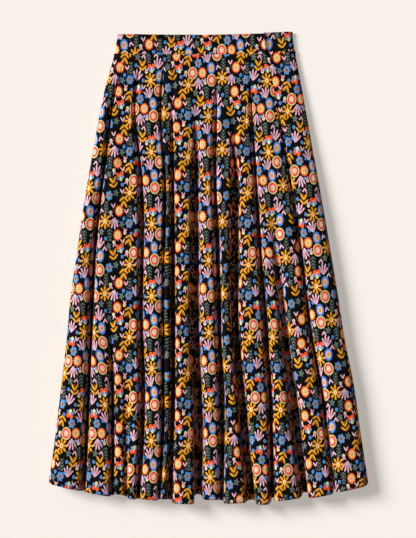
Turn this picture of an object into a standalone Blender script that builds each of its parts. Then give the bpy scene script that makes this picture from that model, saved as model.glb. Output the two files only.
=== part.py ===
"""A full midi skirt laid flat on its back: two flared panels, a two-piece waistband and a side zip.

The skirt is one flattened tube. Its closed section starts at the side seam under the left edge, runs
round that edge, over the front's folds, round the right edge and back beneath, flat on the surface.
Every piece is a stretch of that section swept from the waist to the hem, as an open surface that
Solidify gives its wall. X is across, with +X the viewer's right; +Y points to the waist; +Z is up.
"""

import math
from collections import namedtuple

import bmesh
import bpy
import numpy as np

# Sizes in metres.
SKIRT_LENGTH = 0.8043  # waist seam to hem down the centre front
BAND_HEIGHT = 0.035
CLOTH_WALL = 0.0014
BAND_WALL = 0.0020
ZIP_WALL = 0.0010
SEAM_GAP = 0.0003
FOLD_FLOOR = 0.0036  # the deepest folds stop this high, just clear of the layer beneath

# Each side edge turns in by this much below its widest line, which is at this share of the crest.
EDGE_RADIUS = 0.007
EDGE_LOW_SHARE = 0.42
EDGE_SHOULDER = 0.014
ROUNDED_SHARE = 0.72  # the two rounded shoulders of a ridge take at most this share of its width
CROWN_SHARE = 0.05  # a ridge's crown rises by this share of its width

# The rows of the cloth bow down towards the middle, most at the hem.
BOW_AT_WAIST = 0.0015
BOW_AT_HEM = 0.0370
UNDER_HEM = -0.016  # extra hem length beneath, where the hem runs higher
HEM_POWER = 3  # the hem's unevenness dies out up the skirt with this power of the length

# The side opening: the back pieces ride a little higher there, down to the zip's end.
ZIP_STEP = 0.0050
ZIP_STEP_END = 0.27  # as a share of the length
ZIP_ABOVE = 0.032  # above the waist seam
ZIP_BELOW = 0.200
ZIP_HALF_WIDTH = 0.012

# The side seam beneath lies this far in from the left edge.
UNDER_SEAM_AT_WAIST = 0.050
UNDER_SEAM_AT_HEM = 0.064

# Puts the origin at the middle of the laid skirt's footprint.
CENTRE_X = 0.0045
WAIST_SEAM_Y = 0.3834

# One row for each level down the skirt: its share of the length, the two side edges and the crest.
Level = namedtuple("Level", "down left right crest")
LEVELS = (
    Level(-0.043, -0.1585, 0.1550, 0.0100),
    Level(0.00, -0.1645, 0.1602, 0.0104),
    Level(0.10, -0.1850, 0.1745, 0.0150),
    Level(0.33, -0.2166, 0.2065, 0.0250),
    Level(0.55, -0.2413, 0.2351, 0.0300),
    Level(0.66, -0.2495, 0.2480, 0.0315),
    Level(0.78, -0.2600, 0.2660, 0.0330),
    Level(0.90, -0.2708, 0.2789, 0.0340),
    Level(1.00, -0.2818, 0.2908, 0.0345),
)

# One row for each fold: how far across the skirt it lies, as a share of its width, at these shares of
# its length.
FOLD_DOWNS = (0.0, 0.12, 0.27, 0.42, 0.60, 0.80, 1.0)
FOLD_LINES = (
    (0.056, 0.046, 0.058, 0.061, 0.076, 0.088, 0.102),
    (0.085, 0.085, 0.100, 0.120, 0.149, 0.176, 0.198),
    (0.116, 0.120, 0.160, 0.190, 0.204, 0.219, 0.242),
    (0.148, 0.157, 0.224, 0.244, 0.260, 0.278, 0.277),
    (0.281, 0.288, 0.328, 0.342, 0.349, 0.349, 0.344),
    (0.344, 0.346, 0.367, 0.376, 0.380, 0.380, 0.376),
    (0.475, 0.471, 0.465, 0.463, 0.466, 0.464, 0.465),
    (0.562, 0.559, 0.548, 0.547, 0.550, 0.544, 0.537),
    (0.647, 0.642, 0.637, 0.624, 0.610, 0.622, 0.630),
    (0.732, 0.723, 0.727, 0.721, 0.717, 0.707, 0.698),
    (0.792, 0.787, 0.786, 0.780, 0.789, 0.792, 0.798),
    (0.838, 0.867, 0.878, 0.877, 0.874, 0.879, 0.889),
)

# One row for each fold and the ridge on its right. A fold starts at "opens", is deepest from "full" on
# and loses "eases" of its depth by the hem. Gap and shoulder are its clear width and its rounding; lean
# moves its two lips sideways. Crest is the ridge's share of height. Notch and hem are the extra hem
# length at the bottom of the fold and on the ridge.
Fold = namedtuple("Fold", "opens full depth eases gap shoulder lean crest notch hem")
FOLDS = (
    Fold(0.01, 0.13, 0.92, 0.1, 0.0040, 0.008, -0.002, 0.96, 0.002, 0.001),
    Fold(0.42, 0.85, 0.72, 0.0, 0.0045, 0.010, 0.002, 0.95, 0.000, -0.005),
    Fold(0.60, 1.00, 0.32, 0.0, 0.0050, 0.012, 0.002, 0.98, -0.003, 0.000),
    Fold(0.00, 0.13, 0.94, 0.2, 0.0050, 0.009, -0.003, 0.98, 0.000, -0.002),
    Fold(0.00, 0.11, 0.80, 0.1, 0.0035, 0.006, 0.001, 0.85, -0.003, -0.005),
    Fold(0.02, 0.36, 0.95, 0.2, 0.0065, 0.008, -0.002, 1.00, -0.003, 0.001),
    Fold(0.09, 0.29, 1.00, 0.0, 0.0120, 0.008, 0.003, 0.97, -0.014, -0.007),
    Fold(0.01, 0.18, 1.00, 0.3, 0.0060, 0.008, -0.003, 1.00, -0.004, 0.000),
    Fold(0.10, 0.30, 1.00, 0.0, 0.0100, 0.008, -0.001, 0.99, -0.004, 0.006),
    Fold(0.03, 0.15, 0.94, 0.0, 0.0045, 0.008, -0.002, 0.98, -0.002, 0.002),
    Fold(0.22, 0.65, 1.00, 0.0, 0.0070, 0.010, -0.003, 0.96, -0.005, 0.008),
    Fold(0.00, 0.34, 0.82, 0.2, 0.0040, 0.009, -0.002, 0.94, 0.002, 0.005),
)
LEFT_RIDGE_CREST = 0.94
LEFT_RIDGE_HEM = 0.001
CREST_SPREAD = 0.30  # the ridges differ in height from this share of the length down
SOFT_DEPTH = 0.45  # a fold shallower than this has an open, wavy section
NARROW_AT_WAIST = 0.55  # gaps and shoulders by the waist, as a share of their full size
NARROW_UNTIL = 0.45  # they have their full size from this share of the length on

# Segments of the section, and the levels of its rows.
UNDER_SEGMENTS = 2
LOW_SEGMENTS = 1
SHOULDER_SEGMENTS = 3
TOP_SEGMENTS = 3
BACK_SEGMENTS = 5
ROWS = (0, 0.04, 0.08, 0.12, 0.17, 0.22, 0.28, 0.34, 0.40, 0.47, 0.54, 0.61, 0.68, 0.75, 0.82, 0.88, 0.94, 1)
BAND_ROWS = (1.0, 0.5, 0.0)
ZIP_ROWS = 8

BLACK_PRINT = (0.045, 0.040, 0.042, 1.0)
BLACK_TAPE = (0.012, 0.012, 0.013, 1.0)
CLOTH_ROUGHNESS = 0.8


def ease(low, high, value):
    """0 below low, 1 above high, and a smooth rise between them."""
    share = min(1.0, max(0.0, (value - low) / (high - low)))
    return share * share * (3 - 2 * share)


def through(places, values, place):
    """The smooth curve through these values, level beyond both ends."""
    place = min(max(place, places[0]), places[-1])
    last = len(places) - 1
    i = min(max(1, int(np.searchsorted(places, place))), last)
    span = places[i] - places[i - 1]

    def slope(j):
        before, after = max(0, j - 1), min(last, j + 1)
        return (values[after] - values[before]) / (places[after] - places[before])

    t = (place - places[i - 1]) / span
    return (
        (2 * t**3 - 3 * t**2 + 1) * values[i - 1]
        + (t**3 - 2 * t**2 + t) * span * slope(i - 1)
        + (3 * t**2 - 2 * t**3) * values[i]
        + (t**3 - t**2) * span * slope(i)
    )


def level(down, column):
    """A column of LEVELS at this share of the length."""
    return through([row.down for row in LEVELS], [getattr(row, column) for row in LEVELS], down)


def fold_line(fold, down):
    """How far across the skirt this fold lies, in metres."""
    share = through(FOLD_DOWNS, FOLD_LINES[FOLDS.index(fold)], down)
    left, right = level(down, "left"), level(down, "right")
    return left + share * (right - left)


def fold_depth(fold, down):
    """The fold's depth as a share of the crest."""
    return fold.depth * ease(fold.opens, fold.full, down) * (1 - fold.eases * ease(0.75, 1.0, down))


def climb(depth, gap, shoulder, bottom, crest):
    """One side of a fold, from its bottom up to its ridge: distances from its line, and heights."""
    low_rise = min(gap / 2, (crest - bottom) / 2)
    low = np.linspace(0, math.pi / 2, LOW_SEGMENTS + 1)
    high = np.linspace(0, math.pi / 2, SHOULDER_SEGMENTS + 1)[1:]
    away = np.concatenate([gap / 2 * np.sin(low), gap / 2 + shoulder * (1 - np.cos(high))])
    low_up = bottom + low_rise * (1 - np.cos(low))
    up = np.concatenate([low_up, low_up[-1] + (crest - low_up[-1]) * np.sin(high)])
    share = np.linspace(0, 1, len(away))
    wave = bottom + (crest - bottom) * (1 - np.cos(math.pi * share)) / 2
    steep = ease(0.0, SOFT_DEPTH, depth)
    return (1 - steep) * share * away[-1] + steep * away, (1 - steep) * wave + steep * up


def edge_climb(shoulder, crest):
    """A side edge of the tube, from the layer beneath out to its widest line and up to the ridge."""
    low_rise = EDGE_LOW_SHARE * crest
    radius = min(EDGE_RADIUS, low_rise)
    low = np.linspace(0, math.pi / 2, LOW_SEGMENTS + 2)
    high = np.linspace(0, math.pi / 2, SHOULDER_SEGMENTS + 1)[1:]
    away = np.concatenate([radius * (1 - np.sin(low)), shoulder * (1 - np.cos(high))])
    up = np.concatenate([low_rise * (1 - np.cos(low)), low_rise + (crest - low_rise) * np.sin(high)])
    return away, up


def ridge_points(before, after, crests, down):
    """The section over one ridge, between the folds before and after it. A side without a fold is an
    edge of the skirt. crests are the heights of the ridges before, here and after."""
    left, right = level(down, "left"), level(down, "right")
    start = fold_line(before, down) if before else left
    end = fold_line(after, down) if after else right
    room = end - start
    wanted = 0.0
    narrow = NARROW_AT_WAIST + (1 - NARROW_AT_WAIST) * ease(0.0, NARROW_UNTIL, down)
    for fold, facing in ((before, -1), (after, 1)):
        wanted += fold.shoulder * narrow if fold else EDGE_SHOULDER
        if fold:
            room += facing * fold.lean * fold_depth(fold, down) - narrow * fold.gap / 2
    fit = min(1.0, ROUNDED_SHARE * room / wanted)

    top = crests[1]
    top_hem = before.hem if before else LEFT_RIDGE_HEM
    sides = []
    for fold, line, facing, beyond in ((before, start, 1, crests[0]), (after, end, -1, crests[2])):
        if fold:
            depth = fold_depth(fold, down)
            bottom = min(top, beyond) * (1 - depth) + FOLD_FLOOR * depth
            away, up = climb(depth, narrow * fold.gap, narrow * fold.shoulder * fit, bottom, top)
            lean, low_hem = fold.lean * depth, fold.notch
        else:
            away, up = edge_climb(EDGE_SHOULDER * fit, top)
            lean, low_hem = 0.0, UNDER_HEM
        share = (up - up[0]) / max(up[-1] - up[0], 1e-9)
        hem = top_hem + (low_hem - top_hem) * (1 - share) ** 2
        sides.append((line + facing * away + lean * share, up, hem))

    (left_x, left_z, left_hem), (right_x, right_z, right_hem) = sides
    t = np.linspace(0, 1, TOP_SEGMENTS + 1)[1:-1]
    crown = CROWN_SHARE * (right_x[-1] - left_x[-1]) * ease(0.0, 0.5, down)
    top_x = left_x[-1] + t * (right_x[-1] - left_x[-1])
    top_z = left_z[-1] + t * (right_z[-1] - left_z[-1]) + crown * np.sin(math.pi * t) ** 2
    x = np.concatenate([left_x, top_x, right_x[::-1]])
    z = np.concatenate([left_z, top_z, right_z[::-1]])
    hem = np.concatenate([left_hem, np.full(len(t), top_hem), right_hem[::-1]])
    return np.stack([x, z, hem], 1)


def section(down):
    """The closed section at this share of the length, in rows of across, height and extra hem length,
    with the index of the row at the bottom of the last fold, where the side opening is."""
    spread = ease(0.0, CREST_SPREAD, down)
    shares = [LEFT_RIDGE_CREST] + [fold.crest for fold in FOLDS]
    crests = [level(down, "crest") * (1 - spread * (1 - share)) for share in shares]
    crests = [crests[0]] + crests + [crests[-1]]
    folds = [None, *FOLDS, None]
    over = []
    for i, (before, after) in enumerate(zip(folds, folds[1:])):
        points = ridge_points(before, after, crests[i : i + 3], down)
        over.append(points[1:] if before else points)
    opening = UNDER_SEGMENTS + sum(len(points) for points in over[:-1]) - 1
    over = np.concatenate(over)

    shown = max(0.0, down)
    seam = level(down, "left") + UNDER_SEAM_AT_WAIST + shown * (UNDER_SEAM_AT_HEM - UNDER_SEAM_AT_WAIST)
    under_left = np.linspace(seam, over[0, 0], UNDER_SEGMENTS + 1)[:-1]
    under_back = np.linspace(over[-1, 0], seam, BACK_SEGMENTS + 1)[1:]
    under = [np.stack([x, np.zeros(len(x)), np.full(len(x), UNDER_HEM)], 1) for x in (under_left, under_back)]
    return np.concatenate([under[0], over, under[1]]), opening


def placed(rows, down, raised):
    """Section rows as points in space. raised is how far each rides up at the side opening."""
    x, z, hem = rows.T
    left, right = level(down, "left"), level(down, "right")
    shown = max(0.0, down)
    side = (2 * x - left - right) / (right - left)
    bow = BOW_AT_WAIST + shown * (BOW_AT_HEM - BOW_AT_WAIST)
    y = WAIST_SEAM_Y - down * SKIRT_LENGTH + bow * side**2 - hem * shown**HEM_POWER
    y = y + raised * ZIP_STEP * (1 - ease(0.0, ZIP_STEP_END, down))
    return np.stack([x - CENTRE_X, y, z], 1)


def front_rows(down):
    """The front's stretch of the section: from the seam beneath the left edge to the side opening."""
    rows, opening = section(down)
    rows = rows[: opening + 1].copy()
    rows[0, 0] -= SEAM_GAP / 2
    rows[-1, 0] -= SEAM_GAP / 2
    return placed(rows, down, 0.0)


def back_rows(down):
    """The back's stretch: from the side opening round the right edge to the seam beneath the left one."""
    rows, opening = section(down)
    rows = rows[opening:].copy()
    rows[0, 0] += SEAM_GAP / 2
    rows[-1, 0] += SEAM_GAP / 2
    return placed(rows, down, np.linspace(1, 0, len(rows)))


def matte(name, colour):
    """A plain cloth material."""
    material = bpy.data.materials.new(name)
    material.use_nodes = True
    shader = material.node_tree.nodes["Principled BSDF"]
    shader.inputs["Base Color"].default_value = colour
    shader.inputs["Roughness"].default_value = CLOTH_ROUGHNESS
    shader.inputs["Metallic"].default_value = 0.0
    return material


def lofted(name, grid, wall, colour):
    """An object whose surface passes through the rows of points, with its wall on the inner side."""
    mesh = bpy.data.meshes.new(name)
    work = bmesh.new()
    verts = [[work.verts.new(point) for point in row] for row in grid]
    for above, below in zip(verts, verts[1:]):
        for j in range(len(above) - 1):
            work.faces.new((above[j], below[j], below[j + 1], above[j + 1]))
    work.to_mesh(mesh)
    work.free()
    mesh.shade_smooth()
    mesh.materials.append(matte(name, colour))
    obj = bpy.data.objects.new(name, mesh)
    skirt.objects.link(obj)
    solid = obj.modifiers.new("wall", "SOLIDIFY")
    solid.thickness = wall
    solid.offset = -1
    solid.use_even_offset = True
    solid.use_quality_normals = True
    return obj


def panel(name, rows_at):
    """A skirt panel, from just below the waist seam to the hem."""
    top = SEAM_GAP / SKIRT_LENGTH
    return lofted(name, [rows_at(max(top, down)) for down in ROWS], CLOTH_WALL, BLACK_PRINT)


def band(name, rows_at):
    """A waistband piece, standing above the waist seam."""
    downs = [-share * BAND_HEIGHT / SKIRT_LENGTH for share in BAND_ROWS]
    return lofted(name, [rows_at(down) for down in downs], BAND_WALL, BLACK_PRINT)


def side_zip():
    """The zip's tape: a strip behind the side opening, a seam's gap inside the band."""
    grid = []
    for down in np.linspace(-ZIP_ABOVE / SKIRT_LENGTH, ZIP_BELOW / SKIRT_LENGTH, ZIP_ROWS):
        rows, opening = section(down)
        x = rows[opening, 0] + np.linspace(-ZIP_HALF_WIDTH, ZIP_HALF_WIDTH, 5)
        z = np.full(len(x), rows[opening, 1] - BAND_WALL - SEAM_GAP)
        grid.append(placed(np.stack([x, z, np.zeros(len(x))], 1), down, 0.5))
    return lofted("side_zip", grid, ZIP_WALL, BLACK_TAPE)


for old in list(bpy.data.objects):
    bpy.data.objects.remove(old)
skirt = bpy.data.collections.new("midi_skirt")
bpy.context.scene.collection.children.link(skirt)

panel("front_panel", front_rows)
panel("back_panel", back_rows)
band("waistband_front", front_rows)
band("waistband_back", back_rows)
side_zip()
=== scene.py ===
"""The full midi skirt laid flat, dressed in its printed cotton.

The section of the laid tube is built as the part's is, cut much finer: the folds, ridges, edges and hem
come from the same kinds of named values, with the fold lines placed to the millimetre. Soft creases are
listed and added. The print is a small repeat of ordinary flowers and leaves, charted below in millimetres
and drawn by nodes.
"""

import math
from collections import namedtuple

import bpy
import numpy as np
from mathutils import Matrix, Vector


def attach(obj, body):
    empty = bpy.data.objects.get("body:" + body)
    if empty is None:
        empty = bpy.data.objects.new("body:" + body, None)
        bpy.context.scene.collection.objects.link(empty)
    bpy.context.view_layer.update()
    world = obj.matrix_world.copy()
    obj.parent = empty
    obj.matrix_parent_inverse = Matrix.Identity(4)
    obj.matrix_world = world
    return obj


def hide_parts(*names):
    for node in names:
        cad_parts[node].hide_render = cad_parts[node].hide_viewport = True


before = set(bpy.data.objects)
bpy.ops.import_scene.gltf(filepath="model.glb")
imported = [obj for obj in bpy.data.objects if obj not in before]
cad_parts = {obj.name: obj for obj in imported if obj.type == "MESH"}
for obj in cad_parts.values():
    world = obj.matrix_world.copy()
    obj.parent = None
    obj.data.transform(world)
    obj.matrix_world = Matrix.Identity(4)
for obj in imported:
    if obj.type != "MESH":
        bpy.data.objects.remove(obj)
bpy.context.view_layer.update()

# The laid skirt's own values, in metres. "down" is a share of the length from the waist seam to the hem,
# and "across" a share of the laid width from the left edge to the right.
SKIRT_LENGTH = 0.8043
BAND_HEIGHT = 0.035
FOLD_FLOOR = 0.0036  # how high the bottom of a full fold lies
EDGE_RADIUS = 0.007  # the side edges' lower rounding
EDGE_LOW_SHARE = 0.42  # and the most of the edge's height that it takes
EDGE_SHOULDER = 0.014
ROUNDED_SHARE = 0.72  # at most this much of a ridge's width is rounded off
CROWN_SHARE = 0.05  # a ridge's top rises by this share of its width
BOW_AT_WAIST = 0.0015  # how far the sides lie above the middle
BOW_AT_HEM = 0.0370
UNDER_HEM = -0.016  # the layer beneath ends this far from the hem's line
HEM_POWER = 3  # how quickly the hem's unevenness fades up the skirt
ZIP_STEP = 0.0050  # the back's end stands above the front's at the side opening, down to here
ZIP_STEP_END = 0.27
UNDER_SEAM_AT_WAIST = 0.050  # how far in from the left edge the side seam lies beneath
UNDER_SEAM_AT_HEM = 0.064
CENTRE_X = 0.0045  # the frame's zero, across
WAIST_SEAM_Y = 0.3834

# The laid skirt's edges and the height of its ridges, one row for each level. The first is the band's top.
Level = namedtuple("Level", "down left right crest")
LEVELS = (
    Level(-0.043, -0.1585, 0.1550, 0.0100),
    Level(0.00, -0.1645, 0.1602, 0.0104),
    Level(0.10, -0.1850, 0.1745, 0.0150),
    Level(0.33, -0.2166, 0.2065, 0.0250),
    Level(0.55, -0.2413, 0.2351, 0.0300),
    Level(0.66, -0.2495, 0.2480, 0.0315),
    Level(0.78, -0.2600, 0.2660, 0.0330),
    Level(0.90, -0.2708, 0.2789, 0.0340),
    Level(1.00, -0.2818, 0.2908, 0.0345),
)
# One row for each fold: how far across the skirt it lies at these shares of the length.
FOLD_DOWNS = (0.0, 0.12, 0.27, 0.42, 0.60, 0.80, 1.0)
FOLD_LINES = (
    (0.068, 0.058, 0.067, 0.070, 0.085, 0.097, 0.111),
    (0.085, 0.085, 0.106, 0.134, 0.156, 0.178, 0.199),
    (0.116, 0.120, 0.160, 0.194, 0.211, 0.225, 0.243),
    (0.154, 0.167, 0.229, 0.256, 0.269, 0.284, 0.281),
    (0.281, 0.290, 0.331, 0.343, 0.351, 0.351, 0.346),
    (0.344, 0.350, 0.368, 0.377, 0.380, 0.382, 0.380),
    (0.475, 0.475, 0.462, 0.463, 0.461, 0.465, 0.466),
    (0.568, 0.567, 0.555, 0.559, 0.557, 0.552, 0.543),
    (0.647, 0.644, 0.643, 0.627, 0.612, 0.620, 0.635),
    (0.740, 0.739, 0.733, 0.727, 0.726, 0.714, 0.702),
    (0.792, 0.791, 0.797, 0.789, 0.793, 0.796, 0.804),
    (0.838, 0.867, 0.879, 0.885, 0.884, 0.891, 0.895),
)
# One row for each fold and the ridge on its right. A fold starts at "opens", is deepest from "full" on
# and eases off by a share towards the hem. Its gap, its ridges' shoulders and its lean are in metres,
# "crest" is a share of the level's height, and "notch" and "hem" are the extra length at the bottom of
# the fold and on the ridge.
Fold = namedtuple("Fold", "opens full depth eases gap shoulder lean crest notch hem")
FOLDS = (
    Fold(0.01, 0.13, 0.92, 0.1, 0.0040, 0.008, -0.002, 0.96, 0.002, 0.001),
    Fold(0.50, 0.88, 0.72, 0.0, 0.0045, 0.010, 0.002, 0.95, 0.000, -0.005),
    Fold(0.60, 1.00, 0.28, 0.0, 0.0050, 0.012, 0.002, 0.98, -0.003, 0.000),
    Fold(0.00, 0.13, 0.94, 0.3, 0.0050, 0.009, -0.003, 0.98, 0.000, -0.002),
    Fold(0.00, 0.11, 0.80, 0.5, 0.0035, 0.006, 0.001, 0.93, -0.003, -0.005),
    Fold(0.02, 0.36, 0.95, 0.2, 0.0065, 0.008, -0.002, 1.00, -0.003, 0.001),
    Fold(0.09, 0.29, 1.00, 0.0, 0.0150, 0.008, 0.003, 0.97, -0.014, -0.007),
    Fold(0.01, 0.18, 1.00, 0.4, 0.0060, 0.008, -0.003, 1.00, -0.004, 0.000),
    Fold(0.10, 0.30, 1.00, 0.0, 0.0140, 0.008, -0.001, 0.99, -0.001, 0.006),
    Fold(0.03, 0.15, 0.94, 0.0, 0.0045, 0.008, -0.002, 0.98, -0.002, 0.002),
    Fold(0.28, 0.72, 1.00, 0.0, 0.0105, 0.010, -0.003, 0.96, -0.004, 0.005),
    Fold(0.00, 0.34, 0.66, 0.3, 0.0035, 0.009, -0.002, 0.94, -0.002, 0.004),
)
LEFT_RIDGE_CREST = 0.94
LEFT_RIDGE_HEM = 0.001
CREST_SPREAD = 0.30  # the ridges reach their own heights this far down
SOFT_DEPTH = 0.45  # a shallower fold than this is a soft wave
NARROW_AT_WAIST = 0.55  # gaps and shoulders are narrower above
NARROW_UNTIL = 0.45
HEM_EASE = 0.75  # the folds ease off from this far down

# How finely the cloth is cut.
LOW_SEGMENTS = 3
SHOULDER_SEGMENTS = 6
TOP_SEGMENTS = 5
UNDER_SEGMENTS = 10
BACK_SEGMENTS = 90
PANEL_ROWS = 158
FINE_ROWS = 17
FINE_UNTIL = 0.10  # the panels' first rows, down to here, lie closer together
BAND_ROWS = 14

# The cloth and its seams.
CLOTH = 0.0005
BAND_CLOTH = 0.0012
UPPER_FROM = 0.003  # cloth above this height belongs to the upper layer
SEAM_GAP = 0.0004  # the panels begin this share of the length below the band
HEM_TURNING = 0.014  # the turned hem is this deep and twice as thick
PANEL_PULL = (0.0013, 0.004)  # how far the waist seam pulls a panel in, over this share of its length
BAND_PULL = (0.0013, 0.0020)  # the same on the band, in metres
BAND_ROLL = (0.0012, 0.0022)  # the band's top edge rolls in
# The band's ends rise or sink to each other at the closure, from this far away, and lie in a groove.
CLOSURE_EASE = 0.0015
CLOSURE_REACH = 0.030
CLOSURE_GROOVE = 0.0030
GROOVE_WIDTH = 0.0045
GRAIN_LEAN = 0.30  # the print stays upright by this share as the ridges spread
GRAIN_LEANS = (0.06, 0.25)  # from none to all of it between these shares of the length
STRIPS = (0, 1, 4, 5, 6, 7, 8, 9, 10, 12)  # the ridges at which the print's strips begin and end

# Light creases: how far down and across they start and end, how deep they are at most, and how wide.
# Each wanders a little off its line, and has a lip beside its trough on either side.
CREASE_WANDER = 0.0015
CREASE_RISE = (0.0, 0.3)  # shares of its own length over which it deepens
CREASE_FADE = (0.65, 1.0)  # and fades
LIP_SHARE = 0.35  # the lip's height against the trough's depth
LIP_AWAY = 1.7  # its distance from the line, and its spread, against the trough's width
LIP_SPREAD = 0.5
Crease = namedtuple("Crease", "down0 across0 down1 across1 depth width")
FRONT_CREASES = (
    Crease(0.02, 0.680, 0.36, 0.680, 0.0016, 0.0060),
    Crease(0.00, 0.330, 0.14, 0.318, 0.0012, 0.0060),
    Crease(0.00, 0.381, 0.13, 0.372, 0.0011, 0.0055),
    Crease(0.01, 0.236, 0.20, 0.262, 0.0012, 0.0070),
    Crease(0.03, 0.420, 0.30, 0.410, 0.0013, 0.0080),
    Crease(0.04, 0.520, 0.26, 0.505, 0.0010, 0.0070),
    Crease(0.16, 0.103, 0.46, 0.115, 0.0016, 0.0070),
    Crease(0.28, 0.020, 0.56, 0.022, 0.0020, 0.0060),
    Crease(0.44, 0.205, 0.66, 0.204, 0.0013, 0.0070),
    Crease(0.36, 0.831, 0.58, 0.819, 0.0014, 0.0075),
    Crease(0.60, 0.675, 0.80, 0.668, 0.0013, 0.0070),
    Crease(0.50, 0.416, 0.88, 0.415, 0.0016, 0.0080),
    Crease(0.62, 0.500, 0.95, 0.497, 0.0010, 0.0080),
    Crease(0.66, 0.840, 0.98, 0.836, 0.0012, 0.0090),
    Crease(0.58, 0.044, 1.00, 0.053, 0.0018, 0.0070),
    Crease(0.05, 0.600, 0.22, 0.593, 0.0012, 0.0060),
    Crease(0.33, 0.359, 0.86, 0.367, 0.0036, 0.0075),
    Crease(0.46, 0.590, 0.90, 0.590, 0.0012, 0.0070),
    Crease(0.46, 0.318, 0.92, 0.329, 0.0018, 0.0060),
    Crease(0.70, 0.248, 1.00, 0.264, 0.0017, 0.0060),
    Crease(0.66, 0.750, 1.00, 0.744, 0.0014, 0.0070),
    Crease(0.06, 0.808, 0.36, 0.828, 0.0015, 0.0070),
)
BACK_CREASES = (
    Crease(0.03, 0.942, 0.55, 0.946, 0.0020, 0.0065),
    Crease(0.46, 0.936, 1.00, 0.954, 0.0020, 0.0075),
    Crease(0.60, 0.915, 0.99, 0.925, 0.0010, 0.0080),
)
# Creases of the layer beneath, pressed up from the surface it lies on.
UNDER_CREASES = (
    Crease(0.02, 0.22, 1.00, 0.26, 0.0011, 0.0090),
    Crease(0.10, 0.35, 1.00, 0.41, 0.0014, 0.0110),
    Crease(0.05, 0.47, 0.85, 0.50, 0.0010, 0.0090),
    Crease(0.15, 0.61, 1.00, 0.63, 0.0014, 0.0100),
    Crease(0.03, 0.74, 1.00, 0.78, 0.0012, 0.0110),
    Crease(0.30, 0.84, 1.00, 0.88, 0.0010, 0.0090),
)
WAVE_HEIGHT = 0.0007
WAVE_RISE = (0.03, 0.3)  # the waves set in between these shares of the length


def ease(low, high, value):
    """0 below low, 1 above high, and a smooth rise between them."""
    share = np.clip((value - low) / (high - low), 0, 1)
    return share * share * (3 - 2 * share)


def through(places, values, place):
    """The smooth curve through these values, level beyond both ends."""
    place = min(max(place, places[0]), places[-1])
    last = len(places) - 1
    i = min(max(1, int(np.searchsorted(places, place))), last)
    span = places[i] - places[i - 1]

    def slope(j):
        before, after = max(0, j - 1), min(last, j + 1)
        return (values[after] - values[before]) / (places[after] - places[before])

    t = (place - places[i - 1]) / span
    return (
        (2 * t**3 - 3 * t**2 + 1) * values[i - 1]
        + (t**3 - 2 * t**2 + t) * span * slope(i - 1)
        + (3 * t**2 - 2 * t**3) * values[i]
        + (t**3 - t**2) * span * slope(i)
    )


def level(down, column):
    """A value of the table of levels at this share of the length."""
    return through([row.down for row in LEVELS], [getattr(row, column) for row in LEVELS], down)


def across(share, down):
    """A share of the skirt's width, in metres."""
    left, right = level(down, "left"), level(down, "right")
    return left + share * (right - left)


def fold_line(fold, down):
    """Where a fold lies across the skirt, in metres."""
    return across(through(FOLD_DOWNS, FOLD_LINES[FOLDS.index(fold)], down), down)


def fold_depth(fold, down):
    """How deep a fold is, from 0 to 1."""
    return fold.depth * ease(fold.opens, fold.full, down) * (1 - fold.eases * ease(HEM_EASE, 1.0, down))


def climb(depth, gap, shoulder, bottom, crest):
    """One side of a fold, from its bottom up to its ridge."""
    low_rise = min(gap / 2, (crest - bottom) / 2)
    low = np.linspace(0, math.pi / 2, LOW_SEGMENTS + 1)
    high = np.linspace(0, math.pi / 2, SHOULDER_SEGMENTS + 1)[1:]
    away = np.concatenate([gap / 2 * np.sin(low), gap / 2 + shoulder * (1 - np.cos(high))])
    low_up = bottom + low_rise * (1 - np.cos(low))
    up = np.concatenate([low_up, low_up[-1] + (crest - low_up[-1]) * np.sin(high)])
    share = np.linspace(0, 1, len(away))
    wave = bottom + (crest - bottom) * (1 - np.cos(math.pi * share)) / 2
    steep = ease(0.0, SOFT_DEPTH, depth)
    return (1 - steep) * share * away[-1] + steep * away, (1 - steep) * wave + steep * up


def edge_climb(shoulder, crest):
    """A side edge of the tube, from the layer beneath up to the ridge."""
    low_rise = EDGE_LOW_SHARE * crest
    radius = min(EDGE_RADIUS, low_rise)
    low = np.linspace(0, math.pi / 2, LOW_SEGMENTS + 2)
    high = np.linspace(0, math.pi / 2, SHOULDER_SEGMENTS + 1)[1:]
    away = np.concatenate([radius * (1 - np.sin(low)), shoulder * (1 - np.cos(high))])
    up = np.concatenate([low_rise * (1 - np.cos(low)), low_rise + (crest - low_rise) * np.sin(high)])
    return away, up


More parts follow.
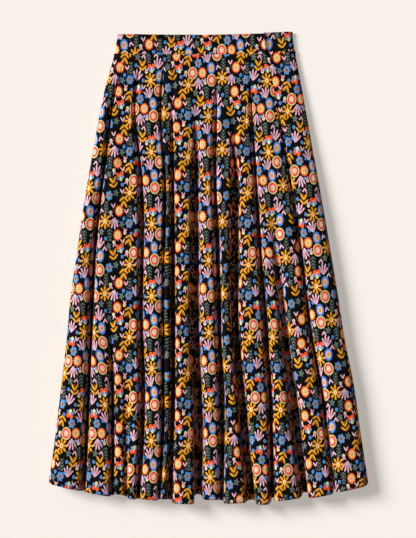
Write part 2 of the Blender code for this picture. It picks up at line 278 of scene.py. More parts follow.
def ridge_points(before, after, crests, down):
    """The section over one ridge: rows of across, height and extra hem length, and its top's index."""
    start = fold_line(before, down) if before else level(down, "left")
    end = fold_line(after, down) if after else level(down, "right")
    room = end - start
    wanted = 0.0
    narrow = NARROW_AT_WAIST + (1 - NARROW_AT_WAIST) * ease(0.0, NARROW_UNTIL, down)
    for fold, facing in ((before, -1), (after, 1)):
        wanted += fold.shoulder * narrow if fold else EDGE_SHOULDER
        if fold:
            room += facing * fold.lean * fold_depth(fold, down) - narrow * fold.gap / 2
    fit = min(1.0, ROUNDED_SHARE * room / wanted)

    top = crests[1]
    top_hem = before.hem if before else LEFT_RIDGE_HEM
    sides = []
    for fold, line, facing, beyond in ((before, start, 1, crests[0]), (after, end, -1, crests[2])):
        if fold:
            depth = fold_depth(fold, down)
            bottom = min(top, beyond) * (1 - depth) + FOLD_FLOOR * depth
            away, up = climb(depth, narrow * fold.gap, narrow * fold.shoulder * fit, bottom, top)
            lean, low_hem = fold.lean * depth, fold.notch
        else:
            away, up = edge_climb(EDGE_SHOULDER * fit, top)
            lean, low_hem = 0.0, UNDER_HEM
        share = (up - up[0]) / max(up[-1] - up[0], 1e-9)
        hem = top_hem + (low_hem - top_hem) * (1 - share) ** 2
        sides.append((line + facing * away + lean * share, up, hem))

    (left_x, left_z, left_hem), (right_x, right_z, right_hem) = sides
    t = np.linspace(0, 1, TOP_SEGMENTS + 1)[1:-1]
    crown = CROWN_SHARE * (right_x[-1] - left_x[-1]) * ease(0.0, 0.5, down)
    top_x = left_x[-1] + t * (right_x[-1] - left_x[-1])
    top_z = left_z[-1] + t * (right_z[-1] - left_z[-1]) + crown * np.sin(math.pi * t) ** 2
    points = np.stack(
        [
            np.concatenate([left_x, top_x, right_x[::-1]]),
            np.concatenate([left_z, top_z, right_z[::-1]]),
            np.concatenate([left_hem, np.full(len(t), top_hem), right_hem[::-1]]),
        ],
        1,
    )
    return points, len(left_x) + len(t) // 2


def ridges_at(down):
    """Every ridge's points at this share of the length, with the index of its top."""
    spread = ease(0.0, CREST_SPREAD, down)
    shares = [LEFT_RIDGE_CREST] + [fold.crest for fold in FOLDS]
    crests = [level(down, "crest") * (1 - spread * (1 - share)) for share in shares]
    crests = [crests[0]] + crests + [crests[-1]]
    folds = [None, *FOLDS, None]
    return [
        ridge_points(before, after, crests[i : i + 3], down)
        for i, (before, after) in enumerate(zip(folds, folds[1:]))
    ]


def beneath(start, end, count):
    """The section of the flat layer beneath, from one place across to another."""
    x = np.linspace(start, end, count + 1)
    return np.stack([x, np.zeros(count + 1), np.full(count + 1, UNDER_HEM)], 1)


def under_seam(down):
    """Where the side seam lies across the layer beneath."""
    shown = max(0.0, down)
    return level(down, "left") + UNDER_SEAM_AT_WAIST + shown * (UNDER_SEAM_AT_HEM - UNDER_SEAM_AT_WAIST)


def placed(rows, down, raised):
    """Section rows as points in space. raised, 0 to 1, is their share of the step at the opening."""
    x, z, hem = rows.T
    left, right = level(down, "left"), level(down, "right")
    shown = max(0.0, down)
    side = (2 * x - left - right) / (right - left)
    bow = BOW_AT_WAIST + shown * (BOW_AT_HEM - BOW_AT_WAIST)
    y = WAIST_SEAM_Y - down * SKIRT_LENGTH + bow * side**2 - hem * shown**HEM_POWER
    y = y + raised * ZIP_STEP * (1 - ease(0.0, ZIP_STEP_END, down))
    return np.stack([x - CENTRE_X, y, z], 1)


def joined(parts):
    """Neighbouring ridges as one strip, measured from the top of the middle one."""
    points = np.concatenate([parts[0][0]] + [part[0][1:] for part in parts[1:]])
    middle = len(parts) // 2
    return points, sum(len(part[0]) - 1 for part in parts[:middle]) + parts[middle][1]


def strips(down, back):
    """The front's or back's stretch of the section as strips that share their end points. The print
    runs on across a strip and breaks only between them, deep inside a fold. Each comes with how far
    its points lie across the cloth from its middle, and where its middle is."""
    parts = ridges_at(down)
    if back:
        over, top = parts[-1]
        points = np.concatenate([over, beneath(over[-1, 0], under_seam(down), BACK_SEGMENTS)[1:]])
        chosen = [(points, top, np.linspace(1, 0, len(points)))]
    else:
        over, top = parts[0]
        left = beneath(under_seam(down), over[0, 0], UNDER_SEGMENTS)[:-1]
        parts[0] = (np.concatenate([left, over]), top + len(left))
        chosen = [(*joined(parts[first:end]), 0.0) for first, end in zip(STRIPS, STRIPS[1:])]
    found = []
    for points, top, lift in chosen:
        steps = np.hypot(np.diff(points[:, 0]), np.diff(points[:, 1]))
        run = np.concatenate([[0], np.cumsum(steps)])
        found.append((placed(points, down, lift), run - run[top], points[top, 0]))
    return found


def swept(downs, back):
    """The grid of the cloth's points, row by row, and each strip's columns with its place on the print."""
    rows = [strips(down, back) for down in downs]
    grid = []
    for row in rows:
        grid.append(np.concatenate([row[0][0]] + [strip[0][1:] for strip in row[1:]]))
    grid = np.array(grid)
    lean = GRAIN_LEAN * ease(*GRAIN_LEANS, np.array(downs))
    columns = []
    start = 0
    for i in range(len(rows[0])):
        middle = np.array([row[i][2] for row in rows])
        drift = np.concatenate([[0], np.cumsum(lean[1:] * np.diff(middle))])
        u = np.array([row[i][1] for row in rows]) + (middle - drift)[:, None]
        columns.append((start, u))
        start += u.shape[1] - 1
    return grid, columns


def pushed(grid, field):
    """The grid with each point moved along the cloth's normal."""
    along = np.gradient(grid, axis=0)
    over = np.gradient(grid, axis=1)
    normal = np.cross(along, over)
    normal /= np.maximum(np.linalg.norm(normal, axis=2, keepdims=True), 1e-12)
    return grid + normal * field[:, :, None]


def crease_field(grid, downs, creases, wanted):
    """How far the creases push the cloth in. wanted, 0 to 1, says where they may."""
    field = np.zeros(grid.shape[:2])
    x = grid[:, :, 0] + CENTRE_X
    for row in creases:
        t = (downs - row.down0) / (row.down1 - row.down0)
        share = row.across0 + np.clip(t, 0, 1) * (row.across1 - row.across0)
        line = np.array([across(s, d) for s, d in zip(share, downs)])
        line = line + CREASE_WANDER * np.sin(9 * t + 40 * row.across0)
        strength = ease(*CREASE_RISE, t) * (1 - ease(*CREASE_FADE, t))
        away = (x - line[:, None]) / row.width
        lip = np.exp(-((np.abs(away) - LIP_AWAY) ** 2) / LIP_SPREAD)
        shape = np.exp(-(away**2)) - LIP_SHARE * lip
        field += row.depth * strength[:, None] * shape
    return field * wanted


def slow_waves(grid, downs):
    """The gentle unevenness of cloth laid by hand."""
    x = grid[:, :, 0]
    d = downs[:, None]
    wave = 0.5 * np.sin(21 * d + 31 * x)
    wave = wave + 0.5 * np.sin(13 * d - 47 * x + 1.0)
    wave = wave + 0.4 * np.sin(34 * d + 83 * x + 2.0)
    return WAVE_HEIGHT * wave * ease(*WAVE_RISE, d)


def at_corners(values):
    """A grid's values at the four corners of each face."""
    return np.stack([values[:-1, :-1], values[1:, :-1], values[1:, 1:], values[:-1, 1:]], -1)


def uv_map(mesh, name, u, v):
    """A UV map in millimetres from values in metres."""
    layer = mesh.uv_layers.new(name=name)
    corners = 1000 * np.stack([u, v], -1)
    layer.uv.foreach_set("vector", corners.astype(np.float32).ravel())


def cloth_mesh(name, grid, columns, v_start, materials, hem=None):
    """A sheet through the grid, with its print and its distance from the hem as UV maps in millimetres."""
    rows, cols, _ = grid.shape
    at = np.arange(rows * cols).reshape(rows, cols)
    faces = at_corners(at).reshape(-1, 4)
    mesh = bpy.data.meshes.new(name)
    mesh.from_pydata(grid.reshape(-1, 3).tolist(), [], faces.tolist())

    v = v_start - grid[:, :, 1]
    u_left = np.zeros((rows, cols - 1))
    u_right = np.zeros((rows, cols - 1))
    for start, u in columns:
        count = u.shape[1] - 1
        u_left[:, start : start + count] = u[:, :-1]
        u_right[:, start : start + count] = u[:, 1:]
    corner_u = np.stack([u_left[:-1], u_left[1:], u_right[1:], u_right[:-1]], -1)
    uv_map(mesh, "print", corner_u, -at_corners(v))
    if hem is not None:
        uv_map(mesh, "hem", corner_u, at_corners(hem))
    for material in materials:
        mesh.materials.append(material)
    mesh.shade_smooth()
    piece = bpy.data.objects.new(name, mesh)
    bpy.context.scene.collection.objects.link(piece)
    if hem is not None:
        # the turned hem at its full thickness, and the rest at half of it
        group = piece.vertex_groups.new(name="thick")
        weight = 0.5 + 0.5 * (hem < HEM_TURNING)
        for value in (0.5, 1.0):
            group.add(np.flatnonzero(weight.ravel() == value).tolist(), value, "REPLACE")
    return piece


def thickened(piece, thickness, inner_slot):
    """Gives a sheet its thickness, on the inner side, with this material slot there."""
    solid = piece.modifiers.new("thickness", "SOLIDIFY")
    solid.thickness = thickness
    solid.offset = -1
    solid.use_rim = True
    solid.material_offset = inner_slot
    if piece.vertex_groups:
        solid.vertex_group = "thick"


# ---------------------------------------------------------------- colours and node helpers


def linear(red, green, blue, alpha=1.0):
    """A colour as seen on a screen, 0 to 255, in the shader's linear scale."""
    shares = [c / 255 for c in (red, green, blue)]
    out = [(c / 12.92) if c <= 0.04045 else ((c + 0.055) / 1.055) ** 2.4 for c in shares]
    return (*out, alpha)


class Tree:
    """Short names for the nodes that the materials use."""

    def __init__(self, tree):
        self.tree = tree
        self.nodes = tree.nodes
        self.links = tree.links

    def put(self, kind, **settings):
        node = self.nodes.new(kind)
        for key, value in settings.items():
            setattr(node, key, value)
        return node

    def feed(self, socket, value):
        if isinstance(value, bpy.types.NodeSocket):
            self.links.new(value, socket)
        elif value is not None:
            socket.default_value = value

    def math(self, operation, a, b=None, c=None):
        node = self.put("ShaderNodeMath", operation=operation)
        for socket, value in zip(node.inputs, (a, b, c)):
            self.feed(socket, value)
        return node.outputs[0]

    def add(self, a, b):
        return self.math("ADD", a, b)

    def sub(self, a, b):
        return self.math("SUBTRACT", a, b)

    def mul(self, a, b):
        return self.math("MULTIPLY", a, b)

    def muladd(self, a, b, c):
        return self.math("MULTIPLY_ADD", a, b, c)

    def below(self, a, b):
        return self.math("LESS_THAN", a, b)

    def above(self, a, b):
        return self.math("GREATER_THAN", a, b)

    def both(self, *masks):
        out = masks[0]
        for mask in masks[1:]:
            out = self.math("MINIMUM", out, mask)
        return out

    def either(self, *masks):
        out = masks[0]
        for mask in masks[1:]:
            out = self.math("MAXIMUM", out, mask)
        return out

    def size(self, x):
        return self.math("ABSOLUTE", x)

    def cos(self, angle, times):
        return self.math("COSINE", self.mul(angle, float(times)))

    def vector(self, operation, *values):
        node = self.put("ShaderNodeVectorMath", operation=operation)
        for socket, value in zip(node.inputs, values):
            self.feed(socket, value)
        return node.outputs["Value"] if operation in ("LENGTH", "DOT_PRODUCT") else node.outputs["Vector"]

    def xyz(self, x, y=0.0, z=0.0):
        node = self.put("ShaderNodeCombineXYZ")
        for socket, value in zip(node.inputs, (x, y, z)):
            self.feed(socket, value)
        return node.outputs[0]

    def parts(self, vector):
        node = self.put("ShaderNodeSeparateXYZ")
        self.feed(node.inputs[0], vector)
        return node.outputs[0], node.outputs[1], node.outputs[2]

    def colour(self, share, low, high):
        node = self.put("ShaderNodeMix", data_type="RGBA")
        self.feed(node.inputs["Factor"], share)
        sockets = [s for s in node.inputs if s.type == "RGBA"]
        self.feed(sockets[0], low)
        self.feed(sockets[1], high)
        return [s for s in node.outputs if s.type == "RGBA"][0]

    def blend_vectors(self, share, low, high):
        node = self.put("ShaderNodeMix", data_type="VECTOR")
        self.feed(node.inputs["Factor"], share)
        sockets = [s for s in node.inputs if s.type == "VECTOR" and s.enabled]
        self.feed(sockets[0], low)
        self.feed(sockets[1], high)
        return [s for s in node.outputs if s.type == "VECTOR"][0]

    # shapes: each gives 1 inside and 0 outside

    def disc(self, x, y, at, radius):
        dx, dy = self.sub(x, float(at[0])), self.sub(y, float(at[1]))
        return self.below(self.muladd(dx, dx, self.mul(dy, dy)), float(radius) ** 2)

    def leaf(self, x, y, at, turn, long, wide):
        """An ellipse, long by wide (half sizes), turned by this many degrees from upright."""
        c, s = math.cos(math.radians(turn)), math.sin(math.radians(turn))
        tip = self.muladd(x, s / long, self.muladd(y, c / long, -(at[0] * s + at[1] * c) / long))
        rib = self.muladd(x, c / wide, self.muladd(y, -s / wide, -(at[0] * c - at[1] * s) / wide))
        return self.below(self.muladd(tip, tip, self.mul(rib, rib)), 1.0)


# ---------------------------------------------------------------- the print

# The repeat, in millimetres across and down the cloth.
REPEAT = (112.0, 104.0)
DROP = 0.5 * REPEAT[1] / REPEAT[0]
MOTIF_SIZE = 0.86  # all motifs, against the sizes below
PRINT_SCALE = (0.93, 1.24)  # the motifs are drawn narrow: millimetres of cloth to one of the chart
GROUND = linear(13, 11, 13)
MUSTARD = linear(233, 158, 18)
DEEP_MUSTARD = linear(176, 122, 24)
AMBER = linear(238, 126, 34)
ORANGE = linear(246, 92, 42)
APRICOT = linear(252, 203, 128)
RED = linear(232, 66, 38)
LIME = linear(214, 212, 146)
ROSE = linear(244, 170, 172)
PINK = linear(240, 184, 196)
MAUVE = linear(150, 88, 122)
SKY = linear(82, 153, 216)
BLUE = linear(46, 98, 206)
SLATE = linear(64, 78, 84)
FOG = linear(198, 212, 208)
FERN = linear(100, 117, 107)
CREAM = linear(246, 228, 156)
COAL = linear(40, 38, 34)

# Where each motif is repeated: across, down, and its turn in degrees. The next repeat across is half a
# repeat lower.
DAISIES = ((78, 97, -134), (31, 34, 0), (5, 90, 37))
MARIGOLDS = ((58, 19, -170), (55, 54, -127), (105, 79, 154))
RINGS = ((86, 79, -21), (11, 38, 161), (21, 0, 22))
BLUEBELLS = ((39, 101, 44), (97, 65, -47), (77, 37, 4))
OVALS = ((22, 84, 8), (10, 20, 169))
FANS = ((2, 5, -16), (48, 36, 193), (20, 66, 7), (97, 94, 181), (92, 31, 14))
SPRIGS = ((101, 16, 2), (77, 61, 197), (47, 82, -11), (67, 6, 182))
FRONDS = ((79, 20, 0), (40, 54, 177), (33, 14, 2), (1, 56, 175))
CLOVERS = ((38, 70, 109), (24, 49, 132), (63, 38, -134), (92, 4, -12), (52, 97, -80))
PANSIES = ((60, 73, -17), (93, 51, 196), (7, 72, -3))
DOTS = ((81, 52, 0), (89, 16, 0), (64, 85, 0), (103, 38, 0), (32, 59, 0), (67, 30, 0))
TICKS = (
    (72, 20, -4),
    (30, 73, 179),
    (103, 48, 11),
    (16, 53, 186),
    (47, 12, -4),
    (23, 18, 166),
    (65, 63, -10),
    (104, 3, 194),
    (64, 95, -1),
)
BUDS = ((69, 50, 8), (48, 65, 162), (110, 93, -19), (73, 79, 194), (109, 25, 4), (42, 22, 172))


TURN_SCALE = 100.0  # a motif's turn travels as a vector's third number, this much smaller
NO_WRAP = 9.0  # larger than any such number, so that only the first two wrap round the repeat


def nearest(t, slanted, spots):
    """The point as seen from the nearest of these spots, unturned: across and up, distance and angle.
    slanted is the point with the repeat's drop taken out."""
    half = (REPEAT[0] / 2, REPEAT[1] / 2, NO_WRAP)
    best = far = None
    for x, y, turn in spots:
        spot = (float(x), -float(y) - DROP * x, -math.radians(turn) / TURN_SCALE)
        d = t.vector("WRAP", t.vector("SUBTRACT", slanted, spot), half, tuple(-h for h in half))
        size = t.vector("DOT_PRODUCT", d, d)
        if best is None:
            best, far = d, size
        else:
            closer = t.below(size, far)
            best, far = t.blend_vectors(closer, best, d), t.math("MINIMUM", size, far)
    x, y, turn = t.parts(best)
    spun = t.put("ShaderNodeVectorRotate", rotation_type="Z_AXIS")
    x, y = t.mul(x, 1 / MOTIF_SIZE), t.mul(t.muladd(x, DROP, y), 1 / MOTIF_SIZE)
    t.feed(spun.inputs["Vector"], t.xyz(x, y))
    t.feed(spun.inputs["Angle"], t.mul(turn, TURN_SCALE))
    x, y, _ = t.parts(spun.outputs[0])
    return x, y, t.vector("LENGTH", spun.outputs[0]), t.math("ARCTAN2", y, x)


def petal_frame(t, r, a, count):
    """How far along and across the petal that a point is nearest to, of count petals round a centre."""
    step = 2 * math.pi / count
    local = t.muladd(t.math("ROUND", t.mul(a, 1 / step)), -step, a)
    return t.mul(r, t.math("COSINE", local)), t.size(t.mul(r, t.math("SINE", local)))


# Each motif gives its layers from the lowest up, as masks with their colours. x, y, r and a are a
# point's place across and up from the motif's middle, its distance and its angle.


def daisy(t, x, y, r, a):
    along, side = petal_frame(t, r, a, 8)
    long = t.muladd(along, 1 / 4.4, -8.6 / 4.4)
    wide = t.mul(side, t.muladd(along, -0.030, 0.78))
    petal = t.below(t.muladd(long, long, t.mul(wide, wide)), 1.0)
    rib = t.both(petal, t.below(side, 0.4), t.above(along, 6.6), t.below(along, 9.6))
    star = t.both(t.below(side, t.muladd(along, -0.2, 1.35)), t.below(along, 5.4))
    return (
        (petal, MUSTARD),
        (rib, AMBER),
        (t.below(r, 4.5), ORANGE),
        (star, CREAM),
        (t.below(r, 1.3), RED),
    )


def marigold(t, x, y, r, a):
    edge = t.cos(a, 12)
    spokes = t.size(t.cos(a, 6))
    return (
        (t.below(r, t.muladd(edge, 0.8, 9.0)), ORANGE),
        (t.below(r, t.muladd(edge, 0.7, 7.1)), AMBER),
        (t.both(t.below(r, t.muladd(edge, 0.7, 6.4)), t.above(spokes, 0.25)), APRICOT),
        (t.below(r, 3.2), APRICOT),
        (t.below(r, 2.5), SLATE),
        (t.below(r, 1.7), FOG),
    )


def ring(t, x, y, r, a):
    egg = t.mul(r, t.muladd(t.math("SINE", a), 0.05, 0.98))
    edge = t.cos(a, 20)
    return (
        (t.below(egg, t.muladd(edge, 0.6, 10.3)), LIME),
        (t.below(egg, t.muladd(edge, -0.4, 8.5)), RED),
        (t.below(egg, t.muladd(t.cos(a, 10), 0.4, 5.3)), ROSE),
        (t.below(egg, 3.1), LIME),
    )


def bluebell(t, x, y, r, a):
    petals = t.math("POWER", t.size(t.cos(a, 3)), 0.6)
    return (
        (t.below(r, t.muladd(petals, 3.4, 4.8)), SKY),
        (t.both(t.below(r, 6.9), t.above(petals, 0.97), t.above(r, 4.0)), BLUE),
        (t.below(r, 4.2), DEEP_MUSTARD),
        (t.below(r, 1.7), COAL),
        (t.below(r, 1.1), BLUE),
    )


def oval(t, x, y, r, a):
    wide, high = t.mul(x, 1 / 8.8), t.mul(y, 1 / 10.9)
    tall = t.math("SQRT", t.muladd(wide, wide, t.mul(high, high)))
    edge = t.cos(a, 14)
    return (
        (t.below(tall, t.muladd(edge, 0.07, 0.93)), SKY),
        (t.both(t.below(tall, 0.86), t.above(tall, 0.7), t.above(edge, 0.3)), BLUE),
        (t.below(tall, t.muladd(edge, 0.04, 0.58)), ROSE),
        (t.below(tall, 0.36), MUSTARD),
        (t.below(tall, 0.13), DEEP_MUSTARD),
    )


def fan(t, x, y, r, a):
    """Four long petals from one foot, with a round berry beside them."""
    up = t.add(y, 9.5)
    step = 0.40
    angle = t.add(t.math("ARCTAN2", x, up), step / 2)
    far = t.math("SQRT", t.muladd(x, x, t.mul(up, up)))
    index = t.math("MINIMUM", t.math("MAXIMUM", t.math("ROUND", t.mul(angle, 1 / step)), -1.0), 2.0)
    local = t.muladd(index, -step, angle)
    side = t.size(t.mul(far, t.math("SINE", local)))
    along = t.mul(far, t.math("COSINE", local))
    reach = t.muladd(t.size(t.sub(index, 0.5)), -1.2, 10.4)
    tip = t.math("DIVIDE", t.sub(along, t.add(reach, 1.0)), reach)
    wide = t.math("DIVIDE", side, t.muladd(along, 0.085, 0.55))
    petal = t.below(t.muladd(tip, tip, t.mul(wide, wide)), 1.0)
    vein = t.both(petal, t.below(side, 0.4), t.above(along, 9.0), t.below(along, 14.0))
    return (
        (petal, PINK),
        (vein, MAUVE),
        (t.disc(x, y, (-7.4, -3.6), 2.6), SKY),
        (t.disc(x, y, (-7.4, -3.6), 1.1), BLUE),
    )


def sprig(t, x, y, r, a):
    side = t.size(x)
    stem = t.both(t.below(side, 0.45), t.below(t.size(y), 9.0))
    return (
        (stem, MAUVE),
        (
            t.either(
                t.leaf(side, y, (3.7, 4.0), 32, 6.4, 2.0),
                t.leaf(side, y, (4.8, -4.6), 50, 6.0, 1.9),
            ),
            MUSTARD,
        ),
    )


def frond(t, x, y, r, a):
    side = t.size(x)
    line = t.math("FRACT", t.mul(t.muladd(side, -0.80, y), 1 / 5.4))
    body = t.both(t.below(side, t.muladd(y, -0.12, 5.0)), t.below(t.size(y), 10.5))
    return ((t.both(body, t.either(t.below(line, 0.36), t.below(side, 0.4))), FERN),)


def clover(t, x, y, r, a):
    return (
        (t.below(r, t.muladd(t.cos(a, 5), 1.7, 4.6)), FERN),
        (t.below(r, 1.3), SLATE),
    )


def pansy(t, x, y, r, a):
    side = t.size(x)
    return (
        (t.disc(side, y, (5.4, -2.6), 2.5), SKY),
        (t.disc(side, y, (4.1, 3.4), 3.9), ORANGE),
        (t.disc(x, y, (0, -4.8), 3.3), LIME),
        (t.disc(x, y, (0, 0.2), 2.3), PINK),
        (t.disc(x, y, (0, 0.2), 0.9), RED),
    )


def dot(t, x, y, r, a):
    return (
        (t.below(r, t.muladd(t.cos(a, 6), 0.5, 3.0)), SKY),
        (t.below(r, 1.3), BLUE),
    )


def tick(t, x, y, r, a):
    side = t.size(x)
    stem = t.both(t.below(side, 0.35), t.above(y, -10.0), t.below(y, -2.0))
    return ((stem, MAUVE), (t.leaf(side, y, (2.3, 0.8), 32, 4.3, 1.3), PINK))


def bud(t, x, y, r, a):
    side = t.size(x)
    return (
        (t.leaf(side, y, (2.0, 4.2), 32, 3.0, 1.1), PINK),
        (t.disc(x, y, (0, -0.6), 3.3), PINK),
        (t.both(t.disc(x, y, (0, -0.6), 3.3), t.below(t.muladd(side, -0.5, y), -1.6)), LIME),
        (t.disc(x, y, (0, 0.6), 0.9), MAUVE),
    )


# The lowest motifs first: each covers those before it.
MOTIFS = (
    (frond, FRONDS),
    (clover, CLOVERS),
    (tick, TICKS),
    (bud, BUDS),
    (sprig, SPRIGS),
    (fan, FANS),
    (daisy, DAISIES),
    (dot, DOTS),
    (bluebell, BLUEBELLS),
    (oval, OVALS),
    (pansy, PANSIES),
    (marigold, MARIGOLDS),
    (ring, RINGS),
)


def print_group():
    """A node group that gives the print's colour at a point of the cloth, in millimetres."""
    group = bpy.data.node_groups.new("flower_print", "ShaderNodeTree")
    group.interface.new_socket("Point", in_out="INPUT", socket_type="NodeSocketVector")
    group.interface.new_socket("Colour", in_out="OUTPUT", socket_type="NodeSocketColor")
    t = Tree(group)
    x, y, _ = t.parts(t.put("NodeGroupInput").outputs[0])
    slanted = t.xyz(x, t.muladd(x, -DROP, y))
    colour = GROUND
    for draw, spots in MOTIFS:
        for mask, paint in draw(t, *nearest(t, slanted, spots)):
            colour = t.colour(mask, colour, paint)
    t.feed(t.put("NodeGroupOutput").inputs[0], colour)
    return group


# In millimetres of cloth.
WAVER = 0.5  # how far the ink wavers along the yarns
YARN = (0.34, 0.38)  # the weave's repeat, across and down
STITCH = 5.0  # from one hem stitch to the next


def cotton(name, group, shift=(0.0, 0.0), reverse=False, hem=False):
    """Matte woven cotton with the print. shift moves the print; reverse is the cloth's paler back."""
    material = bpy.data.materials.new(name)
    material.use_nodes = True
    t = Tree(material.node_tree)
    shader = material.node_tree.nodes["Principled BSDF"]
    shader.inputs["Roughness"].default_value = 0.88
    shader.inputs["Specular IOR Level"].default_value = 0.06
    shader.inputs["Sheen Weight"].default_value = 0.01
    shader.inputs["Sheen Roughness"].default_value = 0.5

    uv = t.put("ShaderNodeUVMap", uv_map="print").outputs[0]
    waver = t.put("ShaderNodeTexNoise", noise_dimensions="2D")
    t.feed(waver.inputs["Vector"], uv)
    waver.inputs["Scale"].default_value = 0.9
    waver.inputs["Detail"].default_value = 1.0
    moved = (shift[0] - WAVER / 2, shift[1] - WAVER / 2, 0.0)
    bent = t.vector("MULTIPLY_ADD", waver.outputs["Color"], (WAVER, WAVER, 0.0), moved)
    chart = (1 / PRINT_SCALE[0], 1 / PRINT_SCALE[1], 0.0)
    point = t.vector("MULTIPLY", t.vector("ADD", uv, bent), chart)
    ink = t.put("ShaderNodeGroup", node_tree=group)
    t.feed(ink.inputs[0], point)
    colour = ink.outputs[0]

    # the weave, and slightly uneven dye
    x, y, _ = t.parts(uv)
    warp = t.math("SINE", t.mul(x, 2 * math.pi / YARN[0]))
    weft = t.math("SINE", t.mul(y, 2 * math.pi / YARN[1]))
    weave = t.mul(warp, weft)
    dye = t.put("ShaderNodeTexNoise", noise_dimensions="2D")
    t.feed(dye.inputs["Vector"], uv)
    dye.inputs["Scale"].default_value = 0.05
    dye.inputs["Detail"].default_value = 3.0
    shade = t.muladd(dye.outputs[0], 0.16, 0.92)
    shade = t.mul(shade, t.muladd(weave, 0.03, 1.0))
    colour = t.vector("MULTIPLY", colour, t.xyz(shade, shade, shade))
    if reverse:
        colour = t.colour(0.55, colour, linear(84, 78, 80))

    # soft puckers, and the weave's own relief
    pucker = t.put("ShaderNodeTexNoise", noise_dimensions="2D")
    t.feed(pucker.inputs["Vector"], t.vector("MULTIPLY", uv, (1.0, 0.35, 0.0)))
    pucker.inputs["Scale"].default_value = 0.06
    pucker.inputs["Detail"].default_value = 2.0
    height = t.muladd(weave, 0.035, t.mul(pucker.outputs[0], 1.6))
    if hem:
        # the hem's line of blind stitches, and the step of its turning
        edge = t.put("ShaderNodeUVMap", uv_map="hem").outputs[0]
        run, up, _ = t.parts(edge)
        line = t.size(t.sub(up, 1000 * HEM_TURNING - 1.0))
        dash = t.below(t.math("FRACT", t.mul(run, 1 / STITCH)), 0.5)
        stitch = t.both(t.below(line, 0.35), dash)
        colour = t.colour(stitch, colour, linear(14, 12, 14))
        groove = t.mul(t.math("EXPONENT", t.mul(t.mul(line, line), -0.5)), -0.22)
        height = t.add(height, groove)
    bump = t.put("ShaderNodeBump")
    bump.inputs["Strength"].default_value = 0.6
    bump.inputs["Distance"].default_value = 0.001
    t.feed(bump.inputs["Height"], height)
    t.feed(shader.inputs["Normal"], bump.outputs[0])
    t.feed(shader.inputs["Base Color"], colour)
    return material


TAPE_YARN = (0.0006, 0.0008)


def tape_material():
    """The zip's black woven tape."""
    material = bpy.data.materials.new("zip_tape_weave")
    material.use_nodes = True
    t = Tree(material.node_tree)
    shader = material.node_tree.nodes["Principled BSDF"]
    shader.inputs["Roughness"].default_value = 0.7
    shader.inputs["Specular IOR Level"].default_value = 0.25
    where = t.put("ShaderNodeTexCoord").outputs["Object"]
    x, y, _ = t.parts(where)
    rib = t.math("SINE", t.mul(y, 2 * math.pi / TAPE_YARN[1]))
    cross = t.math("SINE", t.mul(x, 2 * math.pi / TAPE_YARN[0]))
    both = t.mul(rib, cross)
    tone = t.colour(t.muladd(both, 0.5, 0.5), linear(18, 17, 19), linear(34, 32, 35))
    t.feed(shader.inputs["Base Color"], tone)
    bump = t.put("ShaderNodeBump")
    bump.inputs["Strength"].default_value = 0.5
    bump.inputs["Distance"].default_value = 0.0002
    t.feed(bump.inputs["Height"], both)
    t.feed(shader.inputs["Normal"], bump.outputs[0])
    return material


PAPER_LOW = (0.542, 0.505, 0.468, 1.0)
PAPER_HIGH = (0.558, 0.521, 0.482, 1.0)
TABLE_GLOW = (0.404, 0.380, 0.353, 1.0)  # the table is lit from beneath, which softens the shadows


def paper_material():
    """The studio's pale paper floor."""
    material = bpy.data.materials.new("studio_paper")
    material.use_nodes = True
    t = Tree(material.node_tree)
    shader = material.node_tree.nodes["Principled BSDF"]
    shader.inputs["Roughness"].default_value = 0.95
    shader.inputs["Specular IOR Level"].default_value = 0.0
    grain = t.put("ShaderNodeTexNoise")
    t.feed(grain.inputs["Vector"], t.put("ShaderNodeTexCoord").outputs["Object"])
    grain.inputs["Scale"].default_value = 900.0
    tone = t.colour(grain.outputs[0], PAPER_LOW, PAPER_HIGH)
    t.feed(shader.inputs["Base Color"], tone)
    shader.inputs["Emission Color"].default_value = TABLE_GLOW
    shader.inputs["Emission Strength"].default_value = 1.0
    return material


# ---------------------------------------------------------------- the pieces

flower_print = print_group()
face = cotton("printed_cotton_face", flower_print, hem=True)
back_face = cotton("printed_cotton_back_face", flower_print, shift=(31.0, 47.0), hem=True)
band_face = cotton("waistband_face", flower_print, shift=(52.0, 23.0))
band_back_face = cotton("waistband_back_face", flower_print, shift=(12.0, 71.0))
inside = cotton("printed_cotton_reverse", flower_print, reverse=True)

fine_downs = np.linspace(0, FINE_UNTIL, FINE_ROWS + 1)[:-1] + SEAM_GAP
panel_downs = np.concatenate([fine_downs, np.linspace(FINE_UNTIL, 1.0, PANEL_ROWS - FINE_ROWS)])


def panel(name, back, creases, material):
    """A skirt panel with its folds, its creases and its hem."""
    grid, columns = swept(panel_downs, back)
    hem = grid[:, :, 1] - grid[-1:, :, 1]
    upper = ease(0.0, UPPER_FROM, grid[:, :, 2])
    field = crease_field(grid, panel_downs, creases, upper)
    if back:
        field = field + crease_field(grid, panel_downs, UNDER_CREASES, 1 - upper)
    else:
        field = field + slow_waves(grid, panel_downs) * upper
    # the seam at the waist pulls the cloth in a little
    pull, reach = PANEL_PULL
    field = field + pull * np.exp(-((panel_downs[:, None] / reach) ** 2)) * upper
    grid = pushed(grid, field)
    grid[:, :, 2] = np.maximum(grid[:, :, 2], 0.0)
    piece = cloth_mesh(name, grid, columns, WAIST_SEAM_Y, [material, inside], hem)
    thickened(piece, 2 * CLOTH, 1)
    return piece


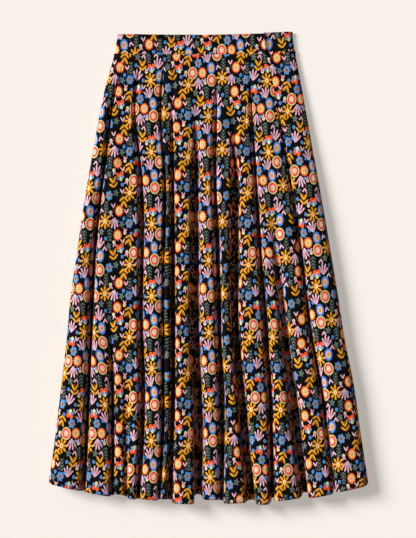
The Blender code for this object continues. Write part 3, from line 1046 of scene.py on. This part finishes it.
def band(name, back, material):
    """A waistband piece: two layers, rolled at the top edge and pulled in at the seam."""
    downs = -np.linspace(BAND_HEIGHT / SKIRT_LENGTH, 0, BAND_ROWS + 1)
    grid, columns = swept(downs, back)
    up = (-downs * SKIRT_LENGTH)[:, None]
    upper = ease(0.0, UPPER_FROM, grid[:, :, 2])
    roll = BAND_ROLL[0] * np.exp(-(((BAND_HEIGHT - up) / BAND_ROLL[1]) ** 2))
    roll = roll + BAND_PULL[0] * np.exp(-((up / BAND_PULL[1]) ** 2))
    x = grid[:, :, 0]
    ripple = 0.0003 * np.sin(70 * x + 90 * up) + 0.0002 * np.sin(190 * x + 1.0)
    # at the closure the upper layer's two ends sink into a soft groove, and their top edges all but meet
    closure, rise = (x[:, :1], -CLOSURE_EASE) if back else (x[:, -1:], CLOSURE_EASE)
    away = np.where(upper > 0, x - closure, 1.0)
    grid[:, :, 1] += rise * np.exp(-((away / CLOSURE_REACH) ** 2)) * up / BAND_HEIGHT
    groove = CLOSURE_GROOVE * np.exp(-((away / GROOVE_WIDTH) ** 2))
    grid = pushed(grid, (roll + ripple + groove) * upper)
    grid[:, :, 2] = np.maximum(grid[:, :, 2], 0.0)
    piece = cloth_mesh(name, grid, columns, WAIST_SEAM_Y, [material, inside])
    thickened(piece, BAND_CLOTH, 1)
    return piece


front = panel("front_cloth", False, FRONT_CREASES, face)
rear = panel("back_cloth", True, BACK_CREASES, back_face)
front_band = band("front_band_cloth", False, band_face)
rear_band = band("back_band_cloth", True, band_back_face)

# Each cloth piece with the node it replaces, its flat width and length, its flat area, and what it
# lies on.
for piece, node, flat, area, under in (
    (front, "front_panel", (0.997, 0.810), 0.598, ["back_cloth", "studio_floor"]),
    (rear, "back_panel", (0.608, 0.820), 0.382, ["studio_floor"]),
    (front_band, "waistband_front", (0.328, 0.035), None, ["back_band_cloth", "studio_floor"]),
    (rear_band, "waistband_back", (0.332, 0.035), None, ["studio_floor"]),
):
    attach(piece, "root")
    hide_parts(node)

tape = bpy.data.objects["side_zip"]
for slot in tape.material_slots:
    slot.material = tape_material()

# ---------------------------------------------------------------- floor, light and camera

FLOOR_SIZE = 40.0
FLOOR_DROP = 0.0006
KEY_LIGHT = 4.90
KEY_FROM = (-1.30, 0.68, 1.0)
KEY_SOFTNESS = 25
WALL_LIGHT = 0.17
WALL_TOP = (0.50, 0.85)
WALL_SIDE = (-0.35, 0.2)
CEILING = 0.2
CAMERA_PLACE = (-0.0009, -0.002, 3.23)

bpy.ops.mesh.primitive_plane_add(size=FLOOR_SIZE, location=(0, 0, -FLOOR_DROP))
floor = bpy.context.object
floor.name = "studio_floor"
floor.data.materials.append(paper_material())


def sun(name, power, towards, soft):
    """Even white light from one direction. soft is how many degrees of the sky it fills."""
    light = bpy.data.lights.new(name, "SUN")
    light.energy = power
    light.angle = math.radians(soft)
    obj = bpy.data.objects.new(name, light)
    bpy.context.scene.collection.objects.link(obj)
    obj.rotation_euler = Vector(towards).to_track_quat("Z", "Y").to_euler()


def studio_walls():
    """The studio's fill light: bright walls, most on the key's side, and a dark ceiling."""
    world = bpy.data.worlds.new("studio")
    bpy.context.scene.world = world
    world.use_nodes = True
    t = Tree(world.node_tree)
    x, y, z = t.parts(t.put("ShaderNodeTexCoord").outputs["Generated"])
    height = t.put("ShaderNodeMapRange", interpolation_type="SMOOTHSTEP")
    t.feed(height.inputs["Value"], z)
    height.inputs["From Min"].default_value = WALL_TOP[0]
    height.inputs["From Max"].default_value = WALL_TOP[1]
    height.inputs["To Min"].default_value = 1.0
    height.inputs["To Max"].default_value = CEILING
    side = t.muladd(x, WALL_SIDE[0], t.muladd(y, WALL_SIDE[1], 1.0))
    background = world.node_tree.nodes["Background"]
    background.inputs["Color"].default_value = (1.0, 1.0, 1.0, 1)
    t.feed(background.inputs["Strength"], t.mul(t.mul(height.outputs[0], side), WALL_LIGHT))


sun("key", KEY_LIGHT, KEY_FROM, KEY_SOFTNESS)
studio_walls()
bpy.context.scene.view_settings.view_transform = "Standard"

camera_data = bpy.data.cameras.new("camera")
camera_data.lens = 120
camera_data.sensor_width = 36
camera_data.sensor_fit = "AUTO"
camera = bpy.data.objects.new("camera", camera_data)
camera.location = CAMERA_PLACE
bpy.context.scene.collection.objects.link(camera)
bpy.context.scene.camera = camera
